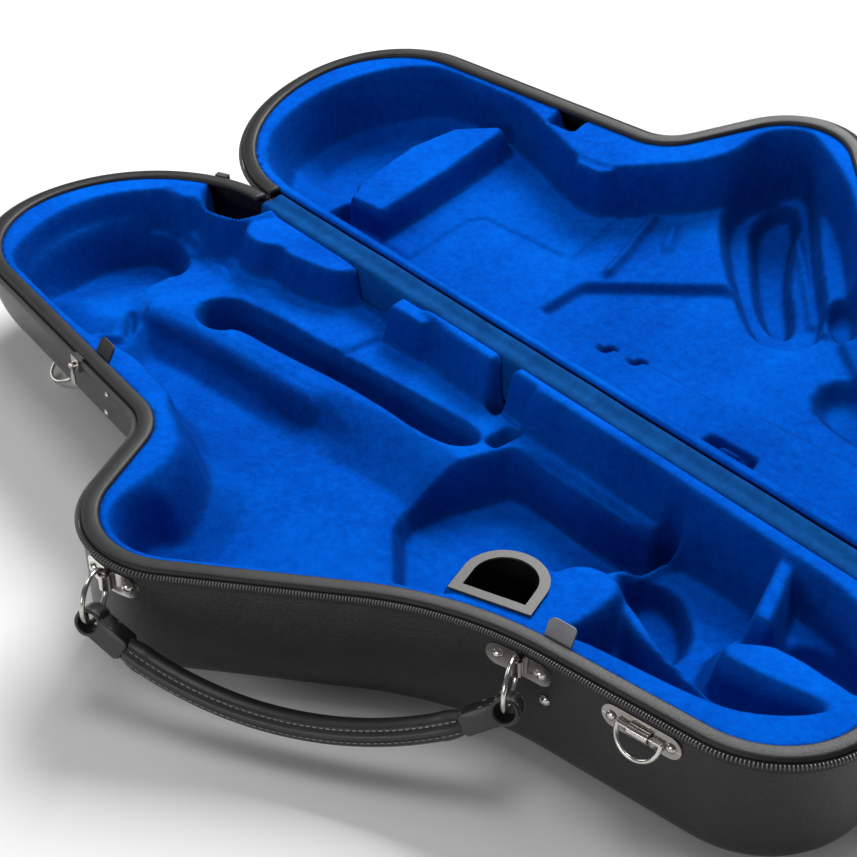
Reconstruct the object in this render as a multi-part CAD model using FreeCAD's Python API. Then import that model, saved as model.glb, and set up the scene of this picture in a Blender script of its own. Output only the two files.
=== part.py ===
import FreeCAD, Part
import os
from math import acos, cos, radians, sin, sqrt, tan

# Contoured hard case for a tenor saxophone, lying open.
# Millimetres.  +X runs along the hinge from the bow end to the neck end, +Y runs from
# the front (handle side) to the hinge and on over the opened lid, +Z is up.
# The origin is on the flat outer bottom of the base tray.

V = FreeCAD.Vector
UP = V(0, 0, 1)

# ---------------------------------------------------------------- driving dimensions
BASE_DEPTH = 104.0         # base tray, floor to meeting plane
OPEN_ANGLE = 168.0         # how far the lid is folded back in the rest position
WALL = 3.0                 # moulded shell thickness
WALL_OUTSET = 13.0         # outer wall face, outside the inner line of the rim
EDGE_ROUND = 35.0          # rounding between walls and flat bottom, bell and neck part
BOW_ROUND = 88.0           # the same round the bow lobe
WAIST_ROUND = 42.0         # the same in the hollow of the waist
HINGE_Y = 154.0            # fabric hinge line
INNER_HINGE_Y = 140.5      # inner rim line on the hinge side
BOW_X = -437.0             # inner rim line at the bow end
NECK_X = 425.0             # inner rim line at the neck end
GAP = 0.3                  # free space between neighbouring pieces
LIP_DROP = 0.5             # each rim stops this far short of the meeting plane
LIP_HEIGHT = 6.5
FOAM_DROP = 4.0            # foam ledge below the meeting plane
TOP = BASE_DEPTH
WALL_TOP = TOP - LIP_DROP - LIP_HEIGHT - 0.2
LIP_TOP = TOP - LIP_DROP
FOAM_TOP = TOP - FOAM_DROP
TAPE_LOW, TAPE_HIGH = TOP - 11.0, TOP - 4.0
TEETH_LOW, TEETH_HIGH = TOP - 6.5, TOP - 3.5
LIP_ENDS_X = (-318.0, 362.0)       # lip and zipper leave out the hinge side between these
RIVET_R = 4.0
EYELET_R = 2.2
PLATE_T = 1.5
PLATE_HIGH = 17.0
HANDLE_PLATE_LONG, HANDLE_RIVET_SPACING = 48.0, 31.0
STRAP_PLATE_LONG, STRAP_RIVET_SPACING = 56.0, 42.0
STRAP_RIVET_R = 3.5
RING_R = 17.0              # handle ring, to the middle of the wire
RING_WIRE = 1.8            # handle ring wire radius
DRING_R = 15.2             # strap ring bow, to the middle of the wire
DRING_LEG = 2.0            # its straight legs, from the bar to the bow
DRING_WIRE = 1.6           # strap ring wire radius
TUNNEL_Y = 3.6             # middle of a handle plate's tunnel, out from the wall
TUNNEL_R = 3.2
BAR_Y = 3.6                # middle of a strap plate's tunnel, out from the wall
BAR_BORE = 2.2
HANDLE_Z = TOP - 20.0
HANDLE_PLATES_X = (20.0, 250.0)
HANDLE_DROOP = 68.0        # the hanging handle, below the horizontal
GRIP_R = 10.0
CORE_R = 4.0
GRIP_START, GRIP_RISE, GRIP_SAG = 24.0, 30.0, 57.0
EYE_R = 9.5                # leather eye round a handle ring
EYE_HOLE_R = 6.5
EYE_WIDE = 17.0
CUP_X = 210.0              # mouthpiece cup
CUP_WIDE, CUP_LONG, CUP_DEEP, CUP_WALL, CUP_FLANGE = 58.0, 52.0, 60.0, 2.5, 7.0
TABS_X = (-187.0, 264.0)
TAB_WIDE, TAB_HIGH, TAB_T = 20.0, 10.5, 1.8
TAB_FOOT, TAB_LEAN = 2.4, 30.0

# Plan outline of the inner rim line: (x, y, corner radius), counter-clockwise.
# Bow lobe, waist, bell bulge, long slope, neck end.
OUTLINE = [
    (BOW_X, INNER_HINGE_Y, 122.0),
    (BOW_X, -74.0, 97.0),
    (-86.0, -101.0, 58.0),
    (-6.9, -232.6, 58.5),
    (195.7, -57.8, 250.0),
    (NECK_X, -16.5, 65.0),
    (NECK_X, INNER_HINGE_Y, 65.0),
]
# The two parts of it whose bottom edges are rounded differently.
BOW_OUTLINE = OUTLINE[:2] + [(60.0, -112.1, 110.0), (60.0, INNER_HINGE_Y, 110.0)]
BELL_OUTLINE = [(-120.0, INNER_HINGE_Y, 60.0), (-120.0, -44.3, 50.0)] + OUTLINE[3:]
BOW_CENTRE = V(BOW_X + 122.0, INNER_HINGE_Y - 122.0, 0)

# The lid is as deep as lets its rounded back edge rest on the floor when it is open.
LID_TILT = radians(180.0 - OPEN_ANGLE)
LID_BACK = HINGE_Y - INNER_HINGE_Y - WALL_OUTSET
LID_DEPTH = (TOP - GAP - EDGE_ROUND + (EDGE_ROUND + LID_BACK) * sin(LID_TILT)) / cos(LID_TILT) + EDGE_ROUND
HINGE_AXIS = V(0, HINGE_Y, TOP)


# ---------------------------------------------------------------- shape helpers
def rounded_wire(corners, outset, z):
    """Closed wire through rounded corners, moved outwards by outset, at height z."""
    arcs = []
    count = len(corners)
    for i in range(count):
        before = V(corners[i - 1][0], corners[i - 1][1], 0)
        here = V(corners[i][0], corners[i][1], 0)
        after = V(corners[(i + 1) % count][0], corners[(i + 1) % count][1], 0)
        radius = corners[i][2]
        to_before = (before - here).normalize()
        to_after = (after - here).normalize()
        half = acos(max(-1.0, min(1.0, to_before.dot(to_after)))) / 2
        centre = here + (to_before + to_after).normalize() * (radius / sin(half))
        start = here + to_before * (radius / tan(half))
        end = here + to_after * (radius / tan(half))
        middle = centre + (here - centre).normalize() * radius
        convex = to_before.cross(to_after).z < 0
        grown = radius + (outset if convex else -outset)
        points = []
        for point in (start, middle, end):
            moved = centre + (point - centre) * (grown / radius)
            points.append(V(moved.x, moved.y, z))
        arcs.append(points)
    edges = []
    for i in range(count):
        edges.append(Part.Arc(*arcs[i]).toShape())
        line_end = arcs[(i + 1) % count][0]
        if arcs[i][2].distanceToPoint(line_end) > 1e-4:
            edges.append(Part.makeLine(arcs[i][2], line_end))
    return Part.Wire(edges)


def prism(corners, outset, z0, z1):
    """Upright solid over a rounded outline."""
    return Part.Face(rounded_wire(corners, outset, z0)).extrude(V(0, 0, z1 - z0))


def rounded_prism(corners, outset, z0, z1, edge_round):
    """Upright solid whose bottom edge is rounded."""
    solid = prism(corners, outset, z0, z1)
    low = [edge for edge in solid.Edges if abs(edge.BoundBox.ZMax - z0) < 1e-3]
    return solid.makeFillet(edge_round, low)


def pan(outset, z0, z1):
    """Whole tray outline with its three kinds of rounded bottom edge."""
    shrink = WALL_OUTSET - outset
    bow = rounded_prism(BOW_OUTLINE, outset, z0, z1, BOW_ROUND - shrink)
    bell = rounded_prism(BELL_OUTLINE, outset, z0, z1, EDGE_ROUND - shrink)
    whole = rounded_prism(OUTLINE, outset, z0 + WAIST_ROUND, z1, WAIST_ROUND - shrink)
    waist = whole.common(box(-150, -45, -190, -60, z0, z1))
    return bell.fuse(bow).fuse(waist)


def ring_band(inner, outer, z0, z1):
    """Upright band that follows the outline between two outsets."""
    return prism(OUTLINE, outer, z0, z1).cut(prism(OUTLINE, inner, z0 - 1, z1 + 1))


def box(x0, x1, y0, y1, z0, z1):
    return Part.makeBox(x1 - x0, y1 - y0, z1 - z0, V(x0, y0, z0))


def rod(radius, start, end):
    return Part.makeCylinder(radius, end.distanceToPoint(start), start, (end - start).normalize())


def group(shapes):
    solids = []
    for shape in shapes:
        solids.extend(shape.Solids)
    return Part.makeCompound(solids)


def placed(shape, origin, outward):
    """Carry a shape from its own frame (y out of the wall, z up) to a place on a wall."""
    y_axis = V(outward).normalize()
    x_axis = y_axis.cross(UP)
    matrix = FreeCAD.Matrix(
        x_axis.x, y_axis.x, 0, origin.x,
        x_axis.y, y_axis.y, 0, origin.y,
        x_axis.z, y_axis.z, 1, origin.z,
        0, 0, 0, 1)
    return shape.transformed(matrix)


def on_wall(x, z, outset=WALL_OUTSET):
    """Point of the front wall at x and height z, with its outward direction."""
    reach = Part.makeLine(V(x, -400, 0), V(x, 60, 0))
    hits = []
    for edge in rounded_wire(OUTLINE, outset, 0).Edges:
        distance, pairs, _ = edge.distToShape(reach)
        if distance < 1e-6:
            point = pairs[0][0]
            hits.append((point.y, point, edge.tangentAt(edge.Curve.parameter(point))))
    _, point, tangent = min(hits, key=lambda hit: hit[0])
    outward = V(tangent.y, -tangent.x, 0)
    if outward.y > 0:
        outward = outward * -1
    return V(point.x, point.y, z), outward.normalize()


def hinge_side():
    """The strip along the hinge where the trays have no lip and no zipper."""
    strip = box(*LIP_ENDS_X, INNER_HINGE_Y - 25, HINGE_Y + 30, -50, TOP + 50)
    return strip.fuse(box(-600, 600, HINGE_Y - 0.5, HINGE_Y + 60, -50, TOP + 50))


def to_lid(shape):
    """Carry a tray piece built like the base's to its place on the opened lid."""
    lid = shape.mirror(HINGE_AXIS, UP)
    lid.rotate(HINGE_AXIS, V(1, 0, 0), -OPEN_ANGLE)
    return lid


# ---------------------------------------------------------------- trays
def tray_shell(depth):
    """Shell of one tray, with its flat bottom at TOP - depth."""
    outer = pan(WALL_OUTSET, TOP - depth, WALL_TOP)
    inner = pan(WALL_OUTSET - WALL, TOP - depth + WALL, WALL_TOP + 10)
    return outer.cut(inner).removeSplitter()


def foam_block(depth):
    """Foam insert before its hollows are cut: fills the shell, with a ledge inside the lip."""
    bottom = TOP - depth + WALL + GAP
    body = pan(WALL_OUTSET - WALL - GAP, bottom, WALL_TOP - GAP)
    ledge = prism(OUTLINE, -GAP, WALL_TOP - GAP - 1, FOAM_TOP)
    return body.fuse(ledge)


def rim_lip():
    return ring_band(0.0, WALL_OUTSET - GAP, WALL_TOP + 0.2, LIP_TOP).cut(hinge_side())


def zip_tape():
    return ring_band(WALL_OUTSET + 0.1, WALL_OUTSET + 1.1, TAPE_LOW, TAPE_HIGH).cut(hinge_side())


def zip_teeth():
    return ring_band(WALL_OUTSET + 1.2, WALL_OUTSET + 4.0, TEETH_LOW, TEETH_HIGH).cut(hinge_side())


# ---------------------------------------------------------------- base foam and its cup
BOW_FLOOR = 30.0
BELL_FLOOR = 24.0
TROUGH_FLOOR = 38.0
KEY_FLOOR = 22.0
NECK_FLOOR = 30.0
SLOT_FLOOR = 50.0
BASE_HOLLOWS = [
    # bow bend, in the round lobe
    ([(-409, 112, 82), (-409, -46, 70), (-215, -62, 40), (-115, -50, 20), (-115, 104, 10),
      (-255, 104, 15)], BOW_FLOOR),
    # bell, in the bulge
    ([(-118, -40, 15), (-45, -95, 20), (-36, -150, 15), (-7, -219, 44), (150, -84, 40),
      (150, 30, 10), (-118, 30, 10)], BELL_FLOOR),
    # body tube, along the hinge
    ([(-125, 18, 10), (392, 18, 30), (392, 112, 20), (-125, 112, 10)], TROUGH_FLOOR),
    # key guards
    ([(84, 40, 15), (90, -42, 20), (148, -42, 20), (160, 4, 8), (232, 4, 8), (232, 40, 8)], KEY_FLOOR),
    # neck
    ([(246, 2, 20), (300, -20, 20), (352, -12, 20), (404, 22, 25), (404, 112, 25), (246, 112, 12)],
     NECK_FLOOR),
    # slots beside the hinge
    ([(-372, 130, 12), (-372, 100, 8), (-296, 100, 5), (-296, 130, 4)], SLOT_FLOOR),
    ([(-166, 140, 5), (-166, 98, 5), (-114, 98, 5), (-114, 140, 5)], SLOT_FLOOR),
    ([(8, 132, 5), (8, 100, 5), (44, 100, 5), (44, 132, 5)], SLOT_FLOOR),
]
CUP_AT, CUP_OUT = on_wall(CUP_X, FOAM_TOP, -8.0)


def cup_solid(inset, z0, z1):
    """D-shaped block of the cup: straight side along the wall, round side inwards."""
    half = CUP_WIDE / 2 - inset
    straight = CUP_LONG - CUP_WIDE / 2
    left, right = V(-half, -inset, z0), V(half, -inset, z0)
    right_back, left_back = V(half, -straight, z0), V(-half, -straight, z0)
    edges = [
        Part.makeLine(left, right),
        Part.makeLine(right, right_back),
        Part.Arc(right_back, V(0, -straight - half, z0), left_back).toShape(),
        Part.makeLine(left_back, left),
    ]
    solid = Part.Face(Part.Wire(edges)).extrude(V(0, 0, z1 - z0))
    return placed(solid, CUP_AT, CUP_OUT)


def mouthpiece_cup():
    barrel_inset = CUP_FLANGE - CUP_WALL
    cup = cup_solid(0, 0, 2.0).fuse(cup_solid(barrel_inset, -CUP_DEEP, 0))
    return cup.cut(cup_solid(CUP_FLANGE, CUP_WALL - CUP_DEEP, 3)).removeSplitter()


def base_foam():
    foam = foam_block(BASE_DEPTH)
    for corners, floor in BASE_HOLLOWS:
        foam = foam.cut(prism(corners, 0, floor, TOP))
    foam = foam.cut(cup_solid(CUP_FLANGE - CUP_WALL - GAP, -CUP_DEEP - GAP, 5))
    foam = foam.cut(cup_solid(-GAP, -GAP, 5))
    return foam.removeSplitter()


def locating_tab(x):
    """Plate riveted inside the lip, leaning in over the foam to guide the lid."""
    origin, outward = on_wall(x, LIP_TOP, 0.0)
    plate = Part.makeBox(TAB_WIDE, TAB_T, TAB_HIGH + TAB_FOOT, V(-TAB_WIDE / 2, -TAB_T, -TAB_FOOT))
    corners = []
    for edge in plate.Edges:
        if edge.BoundBox.ZMin > TAB_HIGH - 0.1 and edge.BoundBox.YLength > 1:
            corners.append(edge)
    plate = plate.makeFillet(4.0, corners)
    plate.rotate(V(0, 0, -TAB_FOOT), V(1, 0, 0), TAB_LEAN)
    plate.translate(V(0, -0.4, 0))
    return placed(plate, origin, outward)


# ---------------------------------------------------------------- lid foam
LID_FLOOR = BASE_DEPTH - 48.0
LID_BELL_FLOOR = BASE_DEPTH - LID_DEPTH + 24.0
LID_HOLLOWS = [
    # bow bend
    ([(-409, 112, 82), (-409, -46, 70), (-215, -62, 40), (-278, 20, 15), (-278, 118, 10)], LID_FLOOR),
    # body, keys and neck
    ([(-212, 118, 10), (-212, -62, 20), (-60, -72, 30), (-60, -20, 30), (196, -22, 60), (404, 8, 40),
      (404, 118, 40)], LID_FLOOR),
    ([(-290, 20, 10), (-290, -60, 20), (-200, -60, 20), (-200, 20, 10)], LID_FLOOR),
    # bell
    ([(-52, -10, 15), (-40, -115, 15), (-7, -214, 44), (120, -98, 30), (140, -10, 20)], LID_BELL_FLOOR),
]


def lid_foam():
    foam = foam_block(LID_DEPTH)
    for corners, floor in LID_HOLLOWS:
        foam = foam.cut(prism(corners, 0, floor, TOP))
    for x in TABS_X:
        origin, outward = on_wall(x, 0, 0.0)
        notch = box(-TAB_WIDE / 2 - 4, TAB_WIDE / 2 + 4, -18, 0.5, TOP - 24, TOP)
        foam = foam.cut(placed(notch, V(origin.x, origin.y, 0), outward))
    return foam.removeSplitter()


# ---------------------------------------------------------------- plates, rivets, strap rings
def plate_blank(length, height, thickness):
    """Flat plate with fully rounded ends, standing on y = 0."""
    half = length / 2 - height / 2
    blank = Part.makeBox(2 * half, thickness, height, V(-half, 0, -height / 2))
    for side in (-half, half):
        blank = blank.fuse(Part.makeCylinder(height / 2, thickness, V(side, 0, 0), V(0, 1, 0)))
    return blank


def bent_plate(x, z, length):
    """Plate bent to the wall at x."""
    origin, outward = on_wall(x, z)
    blank = plate_blank(length, PLATE_HIGH, 40.0)
    blank.translate(V(0, -20, 0))
    skin = ring_band(WALL_OUTSET + 0.1, WALL_OUTSET + 0.1 + PLATE_T, z - PLATE_HIGH, z + PLATE_HIGH)
    return placed(blank, origin, outward).common(skin)


def with_tunnel(plate, origin, outward, axis, offset, bore_r, wall, length):
    """Add a raised half tube to a plate and bore it right through."""
    half = axis * (length / 2)
    centre = V(0, offset, 0)
    tube = rod(bore_r + wall, centre - half, centre + half)
    tube = tube.common(box(-30, 30, 0.4, 30, -30, 30))
    bore = rod(bore_r, centre - axis * 30, centre + axis * 30)
    joined = plate.fuse(placed(tube, origin, outward))
    return joined.cut(placed(bore, origin, outward)).removeSplitter()


def handle_plate(x):
    """Plate with an upright tunnel that holds one side of a handle ring."""
    origin, outward = on_wall(x, HANDLE_Z)
    plate = bent_plate(x, HANDLE_Z, HANDLE_PLATE_LONG)
    return with_tunnel(plate, origin, outward, UP, TUNNEL_Y, TUNNEL_R, 1.4, 12.0)


def strap_plate(x, z):
    """Plate with a level tunnel that holds the bar of a strap ring."""
    origin, outward = on_wall(x, z)
    plate = bent_plate(x, z, STRAP_PLATE_LONG)
    return with_tunnel(plate, origin, outward, V(1, 0, 0), BAR_Y, BAR_BORE, 1.4, 14.0)


def dome_head(radius):
    """Domed rivet head, standing on y = 0."""
    rise = 0.55 * radius
    ball_r = (radius ** 2 + rise ** 2) / (2 * rise)
    ball = Part.makeSphere(ball_r, V(0, 0.6 + rise - ball_r, 0))
    dome = ball.common(box(-20, 20, 0.6, 20, -20, 20))
    return rod(radius, V(0, 0, 0), V(0, 0.6, 0)).fuse(dome).removeSplitter()


def wall_rivet(x, z, lift, radius=RIVET_R):
    origin, outward = on_wall(x, z)
    return placed(dome_head(radius), origin + outward * (lift + 0.2), outward)


def plate_rivets(x, z, spacing, radius):
    """The two rivets of a plate, spaced along the wall."""
    _, outward = on_wall(x, z)
    step = spacing / 2 * abs(outward.y)
    return [wall_rivet(x + side * step, z, PLATE_T, radius) for side in (-1, 1)]


def strap_ring(lean):
    """D-shaped wire ring round its bar, hanging in the wall's frame and leaning outwards."""
    bow = Part.makeTorus(DRING_R, DRING_WIRE, V(0, 0, 0), V(0, 1, 0)).common(box(-30, 30, -9, 9, -30, 0))
    bow.translate(V(0, 0, -DRING_LEG))
    ring = bow.fuse(rod(DRING_WIRE, V(-DRING_R, 0, 0), V(DRING_R, 0, 0)))
    for side in (-DRING_R, DRING_R):
        ring = ring.fuse(rod(DRING_WIRE, V(side, 0, -DRING_LEG), V(side, 0, 0)))
        ring = ring.fuse(Part.makeSphere(DRING_WIRE, V(side, 0, 0)))
    ring = ring.removeSplitter()
    ring.rotate(V(0, 0, 0), V(1, 0, 0), lean)
    ring.translate(V(0, BAR_Y, 0))
    return ring


NECK_STRAP_X, NECK_STRAP_Z = 338.0, TOP - 20.0
LID_STRAP_X, LID_STRAP_Z = 1.0, TOP - 30.0
BOW_STRAP_X = -322.0
BOW_STRAP_TURN = 57.0      # how far round the bottom rounding the plate sits
BOW_RING_LEAN = 59.0


def under_bow(shape):
    """Carry a shape from the wall's frame to the bottom rounding of the bow lobe."""
    origin, outward = on_wall(BOW_STRAP_X, 0)
    shape = shape.copy()
    shape.rotate(V(0, 0, 0), V(1, 0, 0), -BOW_STRAP_TURN)
    turn = radians(BOW_STRAP_TURN)
    inward = outward * -(BOW_ROUND * (1 - cos(turn)))
    return placed(shape, origin + inward + V(0, 0, BOW_ROUND * (1 - sin(turn))), outward)


def bow_strap_plate():
    blank = plate_blank(STRAP_PLATE_LONG, PLATE_HIGH, PLATE_T)
    blank.translate(V(0, 0.1, 0))
    half = V(7, 0, 0)
    centre = V(0, BAR_Y, 0)
    tube = rod(BAR_BORE + 1.4, centre - half, centre + half).common(box(-30, 30, 0.4, 30, -30, 30))
    bore = rod(BAR_BORE, centre - half * 4, centre + half * 4)
    return under_bow(blank.fuse(tube).cut(bore).removeSplitter())


def bow_strap_rivets():
    heads = []
    for side in (-1, 1):
        head = dome_head(STRAP_RIVET_R)
        head.translate(V(side * STRAP_RIVET_SPACING / 2, PLATE_T + 0.1, 0))
        heads.append(under_bow(head))
    return heads


# ---------------------------------------------------------------- handle
ring_tunnels = []
for plate_x in HANDLE_PLATES_X:
    wall_point, wall_out = on_wall(plate_x, HANDLE_Z)
    ring_tunnels.append(wall_point + wall_out * TUNNEL_Y)
# The rings are turned in their tunnels so that both face along the handle's own axis.
HANDLE_ALONG = (ring_tunnels[1] - ring_tunnels[0]).normalize()
HANDLE_OUT = V(HANDLE_ALONG.y, -HANDLE_ALONG.x, 0)
RING_CENTRES = [tunnel + HANDLE_OUT * (RING_R - 0.55) for tunnel in ring_tunnels]
SPAN = RING_CENTRES[1].distanceToPoint(RING_CENTRES[0])
EYE_CENTRE = V(0, RING_R - 1.2, 0)


def to_handle(shape):
    """Carry a shape from the handle's frame (x from right ring to left, y outwards) to where it hangs."""
    hanging = placed(shape, V(0, 0, 0), HANDLE_OUT)
    hanging.rotate(V(0, 0, 0), HANDLE_ALONG, HANDLE_DROOP)
    hanging.translate(RING_CENTRES[1])
    return hanging


GRIP_ARC = Part.Arc(V(GRIP_START, GRIP_RISE, 0), V(SPAN / 2, GRIP_SAG, 0),
                    V(SPAN - GRIP_START, GRIP_RISE, 0))
GRIP_TANGENT = V(*GRIP_ARC.tangent(GRIP_ARC.FirstParameter)[0])


def along_grip(radius):
    """Round bar along the grip's arc."""
    circle = Part.Circle(V(GRIP_START, GRIP_RISE, 0), GRIP_TANGENT, radius)
    path = Part.Wire([GRIP_ARC.toShape()])
    return path.makePipeShell([Part.Wire([circle.toShape()])], True, True)


def end_loop(mirrored):
    """Folded leather strap: an eye round the ring and a tongue that meets the grip."""
    tongue_end = V(GRIP_START, GRIP_RISE, 0) - GRIP_TANGENT * GAP
    tongue = rod(8.0, tongue_end - GRIP_TANGENT * 25, tongue_end)
    eye = rod(EYE_R, EYE_CENTRE - UP * (EYE_WIDE / 2), EYE_CENTRE + UP * (EYE_WIDE / 2))
    neck = tongue.common(box(-60, 60, -60, 60, -EYE_WIDE / 2, EYE_WIDE / 2))
    hole = rod(EYE_HOLE_R, EYE_CENTRE - UP * 20, EYE_CENTRE + UP * 20)
    loop = neck.fuse(eye).cut(hole).removeSplitter()
    if mirrored:
        loop = loop.mirror(V(SPAN / 2, 0, 0), V(1, 0, 0))
    return to_handle(loop)


def handle_ring(centre):
    return placed(Part.makeTorus(RING_R, RING_WIRE, V(0, 0, 0), V(1, 0, 0)), centre, HANDLE_OUT)


# ---------------------------------------------------------------- zipper sliders
SLIDER_LONG = 12.0
PULL_LONG = 16.0              # pull tab, below the slider's pin
BOW_SLIDER_ANGLE = radians(115.0)
FRONT_SLIDER_X = -195.0
PIN_OUT = WALL_OUTSET + 8.4
PIN_Z = TOP - 8.0


def slider_place(which):
    """Point on the wall line where a slider sits, with its outward direction."""
    if which == "bow":
        outward = V(cos(BOW_SLIDER_ANGLE), sin(BOW_SLIDER_ANGLE), 0)
        return BOW_CENTRE + outward * 122.0, outward
    return on_wall(FRONT_SLIDER_X, 0, 0.0)


def zip_slider(which):
    """Channel that wraps the teeth, with two ears and a pin for the pull tab."""
    origin, outward = slider_place(which)
    face = ring_band(WALL_OUTSET + 4.3, WALL_OUTSET + 5.8, TOP - 12.0, TOP - 0.8)
    cap = ring_band(WALL_OUTSET + 0.2, WALL_OUTSET + 5.8, TOP - 3.2, TOP - 0.8)
    foot = ring_band(WALL_OUTSET + 1.4, WALL_OUTSET + 5.8, TOP - 12.0, TOP - 6.8)
    length_block = box(-SLIDER_LONG / 2, SLIDER_LONG / 2, -5, 40, 0, TOP + 10)
    body = face.fuse(cap).fuse(foot).common(placed(length_block, origin, outward))
    for side in (-1, 1):
        ear = box(side * 3.0 - 0.6, side * 3.0 + 0.6, WALL_OUTSET + 5.0, PIN_OUT + 1.2, PIN_Z - 1.6, PIN_Z + 1.6)
        body = body.fuse(placed(ear, origin, outward))
    pin = rod(0.8, V(-3.0, PIN_OUT, PIN_Z), V(3.0, PIN_OUT, PIN_Z))
    return body.fuse(placed(pin, origin, outward)).removeSplitter()


def zip_pull(which):
    """Hanging pull tab with an eye round the slider's pin."""
    origin, outward = slider_place(which)
    eye = rod(2.0, V(-2.1, PIN_OUT, PIN_Z), V(2.1, PIN_OUT, PIN_Z))
    neck = box(-2.1, 2.1, PIN_OUT - 0.6, PIN_OUT + 0.6, PIN_Z - 8, PIN_Z)
    blade = box(-3.5, 3.5, PIN_OUT - 0.6, PIN_OUT + 0.6, PIN_Z - PULL_LONG, PIN_Z - 6)
    blade = blade.makeFillet(2.0, [edge for edge in blade.Edges if edge.BoundBox.YLength > 1])
    hole = rod(0.86, V(-5, PIN_OUT, PIN_Z), V(5, PIN_OUT, PIN_Z))
    return placed(eye.fuse(neck).fuse(blade).cut(hole).removeSplitter(), origin, outward)


# ---------------------------------------------------------------- fabric hinge
CLOTH_T = 1.2
GUSSET_LOW = WALL_TOP + 0.6
STRIP_T = 0.6
STRIP_LOW = TOP - 48.0


def hinge_gusset():
    """Lining cloth across the hinge, lying over both wall edges."""
    x0, x1 = LIP_ENDS_X[0] + GAP, LIP_ENDS_X[1] - GAP
    high = GUSSET_LOW + CLOTH_T
    base_half = box(x0, x1, INNER_HINGE_Y + 3, HINGE_Y + 3, GUSSET_LOW, high)
    lid_half = to_lid(box(x0, x1, INNER_HINGE_Y + 3, HINGE_Y - 1.2, GUSSET_LOW, high))
    return base_half.fuse(lid_half).removeSplitter()


def hinge_outer_strip():
    """Outer hinge cloth, glued down both back walls and folded between them."""
    x0, x1 = LIP_ENDS_X[0] + 18, LIP_ENDS_X[1] - 17
    y0 = INNER_HINGE_Y + WALL_OUTSET + 0.1
    leg = box(x0, x1, y0, y0 + STRIP_T, STRIP_LOW, WALL_TOP)
    fold = box(x0, x1, y0, HINGE_Y + 1.8, WALL_TOP - 0.2 - STRIP_T, WALL_TOP - 0.2)
    return leg.fuse(to_lid(leg)).fuse(fold).removeSplitter()


# ---------------------------------------------------------------- all sub-parts
neck_plate_at = (NECK_STRAP_X, NECK_STRAP_Z)
lid_plate_at = (LID_STRAP_X, LID_STRAP_Z)
handle_rivets = (HANDLE_RIVET_SPACING, RIVET_R)
strap_rivets = (STRAP_RIVET_SPACING, STRAP_RIVET_R)
neck_origin, neck_out = on_wall(*neck_plate_at)
lid_origin, lid_out = on_wall(*lid_plate_at)

NODES = {
    "base_shell": tray_shell(BASE_DEPTH),
    "base_foam_insert": base_foam(),
    "base_rim_lip": rim_lip(),
    "base_zip_tape": zip_tape(),
    "base_zip_teeth": zip_teeth(),
    "mouthpiece_cup": mouthpiece_cup(),
    "bow_locating_tab": locating_tab(TABS_X[0]),
    "neck_locating_tab": locating_tab(TABS_X[1]),
    "handle_plate_bell_side": handle_plate(HANDLE_PLATES_X[0]),
    "handle_plate_neck_side": handle_plate(HANDLE_PLATES_X[1]),
    "handle_plate_rivets": group(plate_rivets(HANDLE_PLATES_X[0], HANDLE_Z, *handle_rivets)
                                 + plate_rivets(HANDLE_PLATES_X[1], HANDLE_Z, *handle_rivets)),
    "wall_rivet": wall_rivet(269.0, TOP - 40.0, 0.0),
    "waist_eyelets": group([wall_rivet(-155.0, TOP - 14.0, 0.0, EYELET_R),
                            wall_rivet(-160.0, TOP - 33.0, 0.0, EYELET_R)]),
    "bow_strap_plate": bow_strap_plate(),
    "bow_strap_ring": under_bow(strap_ring(BOW_STRAP_TURN + BOW_RING_LEAN)),
    "neck_strap_plate": strap_plate(*neck_plate_at),
    "neck_strap_ring": placed(strap_ring(18.0), neck_origin, neck_out),
    "strap_plate_rivets": group(bow_strap_rivets() + plate_rivets(*neck_plate_at, *strap_rivets)),
    "hinge_gusset": hinge_gusset(),
    "hinge_outer_strip": hinge_outer_strip(),
    "handle_ring_bell_side": handle_ring(RING_CENTRES[0]),
    "handle_ring_neck_side": handle_ring(RING_CENTRES[1]),
    "handle_grip": to_handle(along_grip(GRIP_R).cut(along_grip(CORE_R + 0.2))),
    "handle_core": to_handle(along_grip(CORE_R)),
    "handle_loop_bell_side": end_loop(True),
    "handle_loop_neck_side": end_loop(False),
    "lid_shell": to_lid(tray_shell(LID_DEPTH)),
    "lid_foam_insert": to_lid(lid_foam()),
    "lid_rim_lip": to_lid(rim_lip()),
    "lid_zip_tape": to_lid(zip_tape()),
    "lid_zip_teeth": to_lid(zip_teeth()),
    "lid_strap_plate": to_lid(strap_plate(*lid_plate_at)),
    "lid_strap_rivets": to_lid(group(plate_rivets(*lid_plate_at, *strap_rivets))),
    "lid_strap_ring": to_lid(placed(strap_ring(18.0), lid_origin, lid_out)),
    "bow_zip_slider": zip_slider("bow"),
    "bow_zip_pull": zip_pull("bow"),
    "front_zip_slider": zip_slider("front"),
    "front_zip_pull": zip_pull("front"),
}

os.makedirs("parts", exist_ok=True)
for name, shape in NODES.items():
    shape.exportStep("parts/" + name + ".step")
    print("%-24s solids %d  volume %.0f  valid %s" % (name, len(shape.Solids), shape.Volume, shape.isValid()))
print("lid depth %.2f  handle span %.1f  grip arc %.1f" % (LID_DEPTH, SPAN, GRIP_ARC.length()))
print("handle along", HANDLE_ALONG, "ring centres", RING_CENTRES, "tunnels", ring_tunnels)
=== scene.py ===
"""Looks of an open contoured saxophone case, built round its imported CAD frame."""
import math

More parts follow.
